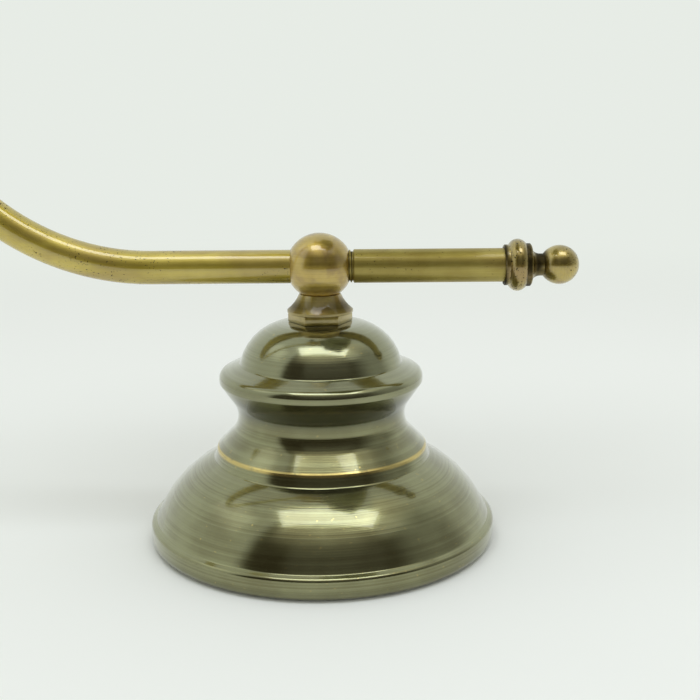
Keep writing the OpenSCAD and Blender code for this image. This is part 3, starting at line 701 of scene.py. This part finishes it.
def aged_brass(name, light, dark, start, along_y, satin, lacquer=0.9, pits=0.0, dirt_and_shade_rings=(), drawn=False,
               line_depth=0.012):
    """Lacquered brass. Its lines, line_depth mm deep, run round the axis, or along Z if it is a
    drawn tube; pits is how many holes there are, and grooves are rings that are darkened: grime
    where parts meet, and a painted shade where another piece shades the surface."""
    brass = Finish(bpy.data.materials.new(name))
    place = brass.place()
    radius, height = round_axis(brass, start, along_y)
    lines, smear = brass.vector(radius, height), place
    if drawn:
        x, y, z = brass.split(place)
        lines, smear = brass.vector(x, y, DRAWN_LINES * z), brass.vector(x, y, DRAWN_SMEAR * z)
    fine = brass.noise(lines, LINE_FINE, 3)
    cloud = brass.noise(place, BRASS_CLOUD, 4)
    cluster = brass.noise(place, PIT_CLUSTER, 2).ramp(*PATCHES)
    dirt_and_shade = (brass.noise(place, PIT, 2) * cluster).ramp(PITS_FROM - pits, PITS_FULL - pits)
    # The rings darken the brass: grime where parts meet, and a painted shade on the neck's flare.
    if dirt_and_shade_rings:
        dirt_and_shade = dirt_and_shade.larger(near_rings(radius, height, dirt_and_shade_rings) * cloud.ramp(*PATCHES))
    tone = (0.7 * cloud + 0.3 * fine).ramp(*BRASS_TONES)
    bloom = (DRAWN_BLOOM if drawn else TURNED_BLOOM) * brass.noise(smear, SMEAR, 3).ramp(*BLOOMS)
    metal = brass.mix(bloom, brass.mix(tone, dark, light), TARNISH)
    return brass.surface(
        Base_Color=brass.mix(dirt_and_shade, metal, DIRT_AND_SHADE), Metallic=1.0,
        Roughness=satin + 0.14 * fine * cloud + 0.25 * dirt_and_shade,
        Coat_Weight=lacquer * (1 - dirt_and_shade), Coat_Roughness=0.09, Coat_IOR=1.8,
        Normal=brass.bump(fine - 1.5 * dirt_and_shade, line_depth * MM))


print("the brass has pits of", PIT / MM, "mm")

# %% [markdown]
# The neck is a hexagon that screws onto the stem, a thin collar, and a hollow flare that ends
# in the cup for the ball. The hexagon could be milled from the turning with six cuts. It is
# less work to turn the round part alone and add a cone of six sides and equal ends with its
# edges bevelled. The flare gets a painted shade under the ball, in the dark colour of dirt.

# %% The neck's sizes
HEX_AF, HEX_H, HEX_TURN, HEX_EDGE = 16.8, 2.8, radians(4), 0.25
CORE_R, CORE_H = HEX_AF / 2 - 0.5, 1
COLLAR_R, COLLAR_H, COLLAR_EDGE = 9.85, 0.8, 0.15
RIM_R, RIM_EDGE, RIM_CROWN = 6.25, 0.35, 0.05
CUP_GAP, CUP_IN, CUP_DEPTH = 0.25, 0.6, 0.25
FLARE_R = 11.0
rim_at = ball_out - sqrt((ball_r + CUP_GAP) ** 2 - RIM_R ** 2)
collar_foot = canopy_h + HEX_H
flare_foot, flare_rim = Vector((COLLAR_R, collar_foot + COLLAR_H)), Vector((RIM_R, rim_at))
half_chord = (flare_rim - flare_foot) / 2
flare_depth = sqrt(FLARE_R ** 2 - half_chord.length_squared)
flare_centre = flare_foot + half_chord + flare_depth * Vector((half_chord.y, -half_chord.x)).normalized()
print("the flare goes from", round(flare_foot.y, 2), "to", round(rim_at, 2), "mm from the wall")

# %% The swivel neck
WORN_LIGHT, WORN_DARK = rgb(0.50, 0.395, 0.115), rgb(0.33, 0.25, 0.06)
# A ring of painted shade on the flare, just under the ball.
FLARE_SHADE_DROP, FLARE_SHADE_W = 1.7, 4.2
flare_painted_shade = (COLLAR_R, rim_at - FLARE_SHADE_DROP, FLARE_SHADE_W)
neck_brass = aged_brass("neck_brass", WORN_LIGHT, WORN_DARK, Vector(), True, satin=0.38, dirt_and_shade_rings=[flare_painted_shade])

neck = from_wall()
neck.begin(0, collar_foot - CORE_H).line((CORE_R, collar_foot - CORE_H), (CORE_R, collar_foot))
neck.line((COLLAR_R - COLLAR_EDGE, collar_foot), (COLLAR_R, collar_foot + COLLAR_EDGE), flare_foot[:])
neck.arc(flare_centre[:], -2 * asin(half_chord.length / FLARE_R))
neck.line((RIM_R - RIM_EDGE, rim_at + RIM_CROWN), (RIM_R - CUP_IN, rim_at - CUP_DEPTH),
          (0, rim_at - CUP_DEPTH))
bm = neck.turn(SMALL_STEPS)
hex_corner = HEX_AF / sqrt(3) * MM
hexagon = bmesh.ops.create_cone(bm, cap_ends=True, segments=6, radius1=hex_corner, radius2=hex_corner,
                                depth=HEX_H * MM)["verts"]
bmesh.ops.rotate(bm, verts=hexagon, matrix=Matrix.Rotation(HEX_TURN, 3, "Z"))
bmesh.ops.rotate(bm, verts=hexagon, matrix=Matrix.Rotation(pi / 2, 3, "X"))
bmesh.ops.translate(bm, verts=hexagon, vec=(0, -(canopy_h + HEX_H / 2) * MM, 0))
hex_edges = {e for v in hexagon for e in v.link_edges}
bmesh.ops.bevel(bm, geom=list(hex_edges), offset=HEX_EDGE * MM, offset_type="OFFSET", segments=2,
                profile=0.5, affect="EDGES", material=-1)
make("neck_turning", bm, "wall_mount", [neck_brass], "swivel_neck")

# %% [markdown]
# The ball joins the arm and the tail to the swivel. A ready sphere would do, but its poles
# would lie across the lathe lines. This one is turned about the swivel axis, and its two sides
# are cut flat by planes where the tubes screw in.

# %% The ball
TUBE_FIT = 0.05
OLD_LIGHT, OLD_DARK = rgb(0.60, 0.44, 0.10), rgb(0.43, 0.295, 0.052)
ball_brass = aged_brass("ball_brass", OLD_LIGHT, OLD_DARK, BALL, True, satin=0.35, line_depth=0.04)
ball_flat = sqrt(ball_r ** 2 - (tube_r + TUBE_FIT) ** 2)
bm = from_ball().begin(0, -ball_r).arc((0, 0), pi).turn(SMALL_STEPS)
for side in (1, -1):
    cut = bmesh.ops.bisect_plane(bm, geom=[*bm.verts, *bm.edges, *bm.faces], dist=SAME / 10,
                                 plane_co=BALL + side * ball_flat * MM * Z_AXIS, plane_no=side * Z_AXIS,
                                 clear_outer=True)
    bmesh.ops.edgeloop_fill(bm, edges=edges_of(cut["geom_cut"]))
bmesh.ops.recalc_face_normals(bm, faces=bm.faces[:])
make("ball_turning", bm, "swivel_arm", [ball_brass], "ball_joint")

# %% [markdown]
# The arm is one length of tube. A curve with a round bevel could make it. Here a ring of
# vertices is drawn out of the ball, bent by a half turn about the centre of the swan neck, and
# drawn down into the lampholder, as a tube is bent.

# %% The arm tube
ARM_STRAIGHT, TUBE_STOP = 50.0, 4.0
TUBE_SIDES, BEND_STEPS = 64, 72
bend_r = (holder_out - ball_out) / 2


def draw_out(bm, ring, way):
    """Extrudes a ring of edges along way, and returns the new ring."""
    grown = bmesh.ops.extrude_edge_only(bm, edges=ring)["geom"]
    far = verts_of(grown)
    bmesh.ops.translate(bm, verts=far, vec=way)
    return [e for e in edges_of(grown) if all(v in far for v in e.verts)]


bm = bmesh.new()
bmesh.ops.create_circle(bm, cap_ends=False, segments=TUBE_SIDES, radius=tube_r * MM,
                        matrix=Matrix.Translation(BALL + TUBE_STOP * MM * Z_AXIS))
first = bm.edges[:]
ring = draw_out(bm, first, (ARM_STRAIGHT - TUBE_STOP) * MM * Z_AXIS)
bent = bmesh.ops.spin(bm, geom=ring, cent=BALL + Vector((0, -bend_r, ARM_STRAIGHT)) * MM, axis=X_AXIS,
                      dvec=(0, 0, 0), angle=pi, steps=BEND_STEPS, use_merge=False)["geom_last"]
last = draw_out(bm, edges_of(bent), (arm_end - ARM_STRAIGHT) * MM * Z_AXIS)
for loop in (first, last):
    bmesh.ops.edgeloop_fill(bm, edges=loop)
close_up(bm)
arm_brass = aged_brass("arm_brass", rgb(0.62, 0.49, 0.085), rgb(0.50, 0.385, 0.048), BALL, False,
                       satin=0.47, lacquer=1.0, pits=0.15, drawn=True)
make("arm_bent_tube", bm, "swivel_arm", [arm_brass], "arm_tube")

# %% [markdown]
# The tail is a short tube on the other side. Nearly two turns of its thread show beside the
# ball, black with old grease. A bump in the finish could draw them, but they also notch the
# outline, so the thread is a real screw line round a thinner root.

# %% The tail tube
TAIL_END, TAIL_IN = 58.6, 2
EDGE_IN, EDGE_LONG = 0.35, 0.3
THREAD_ROOT, THREAD_FROM, THREAD_TO = 4.35, 7.5, 10.0
THREAD_PITCH, THREAD_TURNS = 0.9, 1.9
THREAD_SINK, CREST_DROP = 0.1, 0.15
GREASE_R, GREASE_W, GREASE_AT = 4.1, 0.8, (0.6, 1.8)

tail = along_tail().begin(0, THREAD_FROM - TAIL_IN)
tail.line((THREAD_ROOT, THREAD_FROM - TAIL_IN), (THREAD_ROOT, THREAD_TO), (tube_r - EDGE_IN, THREAD_TO),
          (tube_r, THREAD_TO + EDGE_LONG), (tube_r, TAIL_END), (0, TAIL_END))
tail.turn(SMALL_STEPS)
root_r, crest_r = THREAD_ROOT - THREAD_SINK, tube_r - CREST_DROP
crest = [(root_r, 0), (crest_r, 0.2), (crest_r, 0.5), (root_r, 0.7)]
bm = tail.helix([(r, THREAD_FROM + h) for r, h in crest], THREAD_PITCH, THREAD_TURNS)
tail_brass = aged_brass("tail_brass", rgb(0.48, 0.39, 0.105), rgb(0.375, 0.295, 0.07), BALL, False,
                        satin=0.46, lacquer=0.25, pits=0.10, drawn=True,
                        dirt_and_shade_rings=[(GREASE_R, -THREAD_FROM - h, GREASE_W) for h in GREASE_AT])
make("tail_tube_turning", bm, "swivel_arm", [tail_brass], "tail_tube")

# %% [markdown]
# The finial closes the tail: a skirt over the tube, a round bead, a step, a waist and a knob.
# It could be stacked from rings and a sphere. As one profile it has no seams, and the bead and
# the knob are true arcs that begin and end where the next form meets them.

# %% The finial's sizes
SKIRT_R, SKIRT_EDGE, MOUTH_R, MOUTH_DEPTH = 6.05, 0.25, tube_r + 0.1, 0.4
BEAD_R, BEAD_ROUND, BEAD_AT = 7.75, 2.9, 4.0
STEP_R, STEP_END, STEP_EDGE = 6.35, 8.0, 0.3
WAIST_R, WAIST_ROUND = 3.3, 2.6
KNOB_R, KNOB_AT = 5.85, 16.5
finial_at = -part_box("finial")[1].z / MM
bead_in = BEAD_R - BEAD_ROUND
bead_start = -acos((SKIRT_R - bead_in) / BEAD_ROUND)
bead_end = acos((STEP_R - bead_in) / BEAD_ROUND)
knob_start = -acos(WAIST_R / KNOB_R)
print("the finial begins", round(finial_at, 2), "mm from the ball's centre")

# %% The finial
waist_at = STEP_END + WAIST_ROUND
dirty = [(5.6, -0.1, 1.7), (6.3, 6.9, 1.5), (3.4, waist_at, 3.2)]
finial_brass = aged_brass("finial_brass", rgb(0.50, 0.385, 0.10), rgb(0.29, 0.21, 0.045), BALL, False,
                          satin=0.27, lacquer=0.8, pits=0.17,
                          dirt_and_shade_rings=[(r, -finial_at - h, width) for r, h, width in dirty])
finial = Lathe(BALL - finial_at * MM * Z_AXIS, -Z_AXIS)
finial.begin(0, MOUTH_DEPTH).line((MOUTH_R, MOUTH_DEPTH), (MOUTH_R + SKIRT_EDGE, 0))
finial.line((SKIRT_R - SKIRT_EDGE, 0), (SKIRT_R, SKIRT_EDGE),
            (SKIRT_R, BEAD_AT + BEAD_ROUND * sin(bead_start)))
finial.arc((bead_in, BEAD_AT), bead_end - bead_start)
finial.line((STEP_R, STEP_END - STEP_EDGE), (STEP_R - STEP_EDGE, STEP_END), (WAIST_R + WAIST_ROUND, STEP_END))
finial.arc((WAIST_R + WAIST_ROUND, waist_at), -pi / 2)
finial.line((WAIST_R, KNOB_AT + KNOB_R * sin(knob_start)))
finial.arc((0, KNOB_AT), pi / 2 - knob_start)
make("finial_turning", finial.turn(SMALL_STEPS), "swivel_arm", [finial_brass], "finial")

# %% [markdown]
# The lampholder's cap is spun too, with a turned boss on top that takes the arm's thread. A
# sheet that gets its wall last, like the canopy, is equally thick all over, and the boss isn't.
# So the profile goes round the whole section and comes back to where it began.

# %% The lampholder's cap
BOSS_R, BOSS_FLOOR, LEAD_R = 7.5, -3.0, 2.6
CAP_R, CAP_EDGE, CAP_WALL = cap_high.x / MM, -26.0, 1.0
SHOULDER_R, SHOULDER_AT, SHOULDER_ROUND = 15, -10, 6
BOSS_ROUND, FOOT_ROUND, EDGE_ROUND = 0.8, 0.5, 0.4
INSIDE_IN, INSIDE_DROP = 0.6, 0.4
BOSS_DIRT_W, CAP_DIRT_R, CAP_DIRT_W = 1.2, 19.4, 1.0
bore_r, inside_r = tube_r + TUBE_FIT, CAP_R - CAP_WALL
boss = [(bore_r, BOSS_SOCKET, 0), (BOSS_R, BOSS_SOCKET, BOSS_ROUND), (BOSS_R, 0, FOOT_ROUND)]
outside = [(SHOULDER_R, 0, SHOULDER_ROUND), (CAP_R, SHOULDER_AT, SHOULDER_ROUND),
           (CAP_R, CAP_EDGE, EDGE_ROUND)]
inside = [(inside_r, CAP_EDGE, 0), (inside_r, SHOULDER_AT - INSIDE_DROP, SHOULDER_ROUND - CAP_WALL),
          (SHOULDER_R - INSIDE_IN, -CAP_WALL, SHOULDER_ROUND - CAP_WALL), (BOSS_R, -CAP_WALL, 0)]
bore = [(BOSS_R, BOSS_FLOOR, 0), (LEAD_R, BOSS_FLOOR, 0), (LEAD_R, 0, 0), (bore_r, 0, 0),
        (bore_r, BOSS_SOCKET, 0)]
bm = at_holder().rounded(boss + outside + inside + bore).turn()
holder_brass = aged_brass("holder_brass", OLD_LIGHT, OLD_DARK, HOLDER, False, satin=0.40,
                          dirt_and_shade_rings=[(BOSS_R, 0, BOSS_DIRT_W), (CAP_DIRT_R, CAP_EDGE, CAP_DIRT_W)])
make("holder_cap_spinning", bm, "swivel_arm", [holder_brass], "holder_cap")

# %% [markdown]
# The sleeve below the cap carries the thread for the shade's rings. A row of rings would look
# much like it, but wouldn't climb, so the ridge is one long screw line round a plain sleeve.

# %% The lampholder's sleeve
SPIGOT_R, THREAD_R, SLEEVE_BORE, LIP_R = 18.55, 19.8, 17.55, 15.15
SLEEVE_TOP, SLEEVE_HEAD, SLEEVE_FOOT = -20.0, -26.05, -50.0
SLEEVE_EDGE, LIP_H = 0.3, 1
SLEEVE_PITCH, RIDGE_FOOT, RIDGE_TURNS, RIDGE_H = 2.5, -49.2, 8.3, 0.7
core_r = THREAD_R - RIDGE_H
spigot = [(SLEEVE_BORE, SLEEVE_TOP, 0), (SPIGOT_R, SLEEVE_TOP, SLEEVE_EDGE), (SPIGOT_R, SLEEVE_HEAD, 0)]
core = [(core_r, SLEEVE_HEAD, 0), (core_r, SLEEVE_FOOT, SLEEVE_EDGE), (LIP_R, SLEEVE_FOOT, SLEEVE_EDGE)]
lip = [(LIP_R, SLEEVE_FOOT + LIP_H, 0), (SLEEVE_BORE, SLEEVE_FOOT + LIP_H, 0), (SLEEVE_BORE, SLEEVE_TOP, 0)]
sleeve = at_holder().rounded(spigot + core + lip)
sleeve.turn(SMALL_STEPS)
sunk_r = core_r - THREAD_SINK
ridge = [(sunk_r, 0), (THREAD_R, 0.75), (THREAD_R, 1.1), (sunk_r, 1.85)]
bm = sleeve.helix([(r, RIDGE_FOOT + h) for r, h in ridge], SLEEVE_PITCH, RIDGE_TURNS, True, SMALL_STEPS)
make("holder_sleeve_turning", bm, "swivel_arm", [holder_brass], "holder_sleeve")

# %% [markdown]
# The shade is spun like the canopy: a flat collar between the two rings, a round belly and a
# flared rim with a hem. A cone under a Subdivision Surface could give the belly, but the collar
# and hem want exact roundings, so the canopy's helper makes it. Its inside is painted cream, to
# throw the light down.

# %% The shade
SHADE_WALL, SHADE_TOP, SHADE_FOOT, SHADE_HEM = 1.0, -36.0, -96, 2.2
SHADE_BORE = THREAD_R + 0.4
TOP_EDGE_R, COLLAR_END, FLARE_AT = 28, (30, -44), -92
shade_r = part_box("shade")[1].x / MM
collar = [(SHADE_BORE, SHADE_TOP, 0), (TOP_EDGE_R, SHADE_TOP, 4), (*COLLAR_END, 2)]
belly = [(50, -48, 20), (60, -82, 4)]
flared_rim = [(shade_r, FLARE_AT, 2), (shade_r, SHADE_FOOT, 1.4), (shade_r - SHADE_HEM, SHADE_FOOT, 0)]
bm = spun_sheet(at_holder(), collar + belly + flared_rim, SHADE_WALL)
# A ring of painted shade at the foot of the shade's collar.
shade_bronze = dark_bronze("shade_bronze", HOLDER, False, painted_shade_rings=[(*COLLAR_END, 3.0)],
                           worn_edges=[(shade_r, FLARE_AT, 0.9), (TOP_EDGE_R, SHADE_TOP - 1, 0.7)])
make("shade_spinning", bm, "swivel_arm", [shade_bronze, cream_paint], "shade")

# %% [markdown]
# Two rings screw up the sleeve and pinch the shade's collar. Sixteen hollows round the rim are
# for the fingers. They could be cut out of a disc; here the outline is a chain of arcs that
# bulge out and dip in by turns, so no cut has to be cleaned up.

# %% The shade rings
RING_R, RING_H, RING_EDGE, RING_FIT = 24.0, 4.0, 0.35, 0.05
GRIPS, GRIP_R, GRIP_OUT, GRIP_STEPS = 16, 1.5, 24.75, 8
RING_CORNER = 1
grip_half = acos((RING_R ** 2 + GRIP_OUT ** 2 - GRIP_R ** 2) / (2 * RING_R * GRIP_OUT))
grip_dip = acos((GRIP_OUT ** 2 + GRIP_R ** 2 - RING_R ** 2) / (2 * GRIP_OUT * GRIP_R))


def from_centre(centre, radius, angle):
    return centre + radius * MM * (Matrix.Rotation(angle, 3, "Z") @ X_AXIS)


def is_rim(edge):
    """Whether an edge is sharp and lies flat."""
    low, high = edge.verts
    return edge.calc_face_angle(0) > RING_CORNER and abs(low.co.z - high.co.z) < SAME


def shade_ring(name, foot, node):
    bm, centre, pace = bmesh.new(), HOLDER + foot * MM * Z_AXIS, 2 * pi / GRIPS
    tip = bm.verts.new(from_centre(centre, RING_R, grip_half))
    for count in range(1, GRIPS + 1):
        tip = sweep(bm, tip, centre, Z_AXIS, pace - 2 * grip_half, GRIP_STEPS)
        tip = sweep(bm, tip, from_centre(centre, GRIP_OUT, count * pace), Z_AXIS, -2 * grip_dip, GRIP_STEPS)
    bmesh.ops.remove_doubles(bm, verts=bm.verts[:], dist=SAME)
    bmesh.ops.create_circle(bm, segments=SMALL_STEPS, radius=(THREAD_R + RING_FIT) * MM,
                            matrix=Matrix.Translation(centre))
    flat = bmesh.ops.triangle_fill(bm, edges=bm.edges[:], use_beauty=True)["geom"]
    grown = bmesh.ops.extrude_face_region(bm, geom=faces_of(flat))["geom"]
    bmesh.ops.translate(bm, verts=verts_of(grown), vec=RING_H * MM * Z_AXIS)
    bmesh.ops.recalc_face_normals(bm, faces=bm.faces[:])
    bmesh.ops.bevel(bm, geom=[e for e in bm.edges if is_rim(e)], offset=RING_EDGE * MM, offset_type="OFFSET",
                    segments=2, profile=0.5, affect="EDGES", clamp_overlap=True, material=-1)
    make(name, bm, "swivel_arm", [holder_brass], node)


shade_ring("upper_ring_turning", SHADE_TOP, "upper_shade_ring")
shade_ring("lower_ring_turning", SHADE_TOP - SHADE_WALL - RING_H, "lower_shade_ring")

# %% [markdown]
# The bulb's socket is thin brass rolled into a round thread. A ridge on a tube, as on the
# sleeve, would leave its inside plain, and that is the side that shows. So one wave of the
# sheet is spun along the screw line, and each turn begins where the last one ended.

# %% The screw shell
SHELL_R, SHELL_PITCH, SHELL_SHEET, SHELL_STEPS = shell_high.x / MM, 3.6, 0.3, 64
shell_foot = shell_low.z / MM - arm_end
shell_turns = (shell_high.z - shell_low.z) / MM / SHELL_PITCH - 1
half_wave = [(0, 0), (0.15, 0.7), (0.55, 1.2)]
hollow = [(0.75, SHELL_PITCH / 2)]
wave = half_wave + hollow + [(dip, SHELL_PITCH - h) for dip, h in reversed(half_wave)]
bm = at_holder().helix([(SHELL_R - dip, shell_foot + h) for dip, h in wave], SHELL_PITCH, shell_turns,
                       False, SHELL_STEPS)
side = next(iter(bm.faces))
face_out(bm, side.normal.dot(side.calc_center_median() - HOLDER) < 0)
bmesh.ops.solidify(bm, geom=bm.faces[:], thickness=SHELL_SHEET * MM)
make("screw_shell_rolling", bm, "swivel_arm", [soft_brass], "screw_shell")

# %% [markdown]
# The switch key is moulded: a hub on the spindle, and a round wing that is dished on both sides
# for finger and thumb. The hub turns about X and the wing about Y, so each has its own lathe,
# and the wing joins the hub's mesh afterwards.

# %% The switch key
KEY_DROP, HUB_R, HUB_LENGTH, HUB_STEPS = 15.0, 4.2, 4, 48
WING_R, WING_HALF, WING_ROUND, WING_STEPS = 7.0, 1.5, 1.2, 64
DISH, DISH_R, DISH_ROUND, DISH_EDGE = 0.5, 3.5, 4, 5.4
HUB_FOOT_ROUND, HUB_END_ROUND, DISH_EDGE_ROUND = 0.6, 1.2, 1
key_low, key_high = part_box("switch_key")
key_axis = HOLDER - KEY_DROP * MM * Z_AXIS
hub_in, wing_at = key_low.x / MM, key_high.x / MM - WING_R
hub_out = hub_in + HUB_LENGTH
hub = Lathe(key_axis, X_AXIS, Z_AXIS)
hub.rounded([(0, hub_in, 0), (HUB_R, hub_in, HUB_FOOT_ROUND), (HUB_R, hub_out, HUB_END_ROUND),
             (0, hub_out, 0)])
bm = hub.turn(HUB_STEPS)

lower_half = [(0, DISH - WING_HALF, 0), (DISH_R, DISH - WING_HALF, DISH_ROUND),
              (DISH_EDGE, -WING_HALF, DISH_EDGE_ROUND), (WING_R, -WING_HALF, WING_ROUND)]
upper_half = [(r, -h, rounding) for r, h, rounding in reversed(lower_half)]
wing = Lathe(key_axis + wing_at * MM * X_AXIS, Y_AXIS).rounded(lower_half + upper_half).turn(WING_STEPS)
disc = bpy.data.meshes.new("wing")
wing.to_mesh(disc)
wing.free()
bm.from_mesh(disc)
bpy.data.meshes.remove(disc)
make("switch_key_moulding", bm, "switch", [dark_resin], "switch_key")

# %% [markdown]
# What is left of the CAD model is shown as it is: the wall side with its bracket and terminals,
# and the lampholder's inner parts. They could be modelled again, but their solids already have
# the right shape, so they only get their finishes.

# %% Finishes of the CAD pieces that stay
zinc = plain("zinc", rgb(0.62, 0.63, 0.63), rgb(0.42, 0.43, 0.44),
             metallic=1.0, rough=0.30, grain=4, depth=0.006)
china = plain("china", rgb(0.83, 0.81, 0.75), rgb(0.72, 0.69, 0.62),
              metallic=0.0, rough=0.14, grain=8, depth=0.004)
rubber = plain("rubber", rgb(0.075, 0.068, 0.060), rgb(0.035, 0.032, 0.030),
               metallic=0.0, rough=0.55, grain=2, depth=0.03)
staying = {
    zinc: ["wall_bracket", "lock_washer", "threaded_stem", "friction_washer", "block_screws", "stop_pin",
           "grub_screw", "switch_spindle"],
    soft_brass: ["stem_nuts", "earth_screw", "terminal_tubes", "terminal_screws", "swivel_stud",
                 "centre_contact"],
    china: ["terminal_block", "insulator"],
    dark_resin: ["switch_case"],
    rubber: ["supply_lead", "arm_lead"]}
for finish, names in staying.items():
    for name in names:
        nodes[name].data.materials.clear()
        nodes[name].data.materials.append(finish)
print("finished", sum(len(names) for names in staying.values()), "CAD pieces")

# %% [markdown]
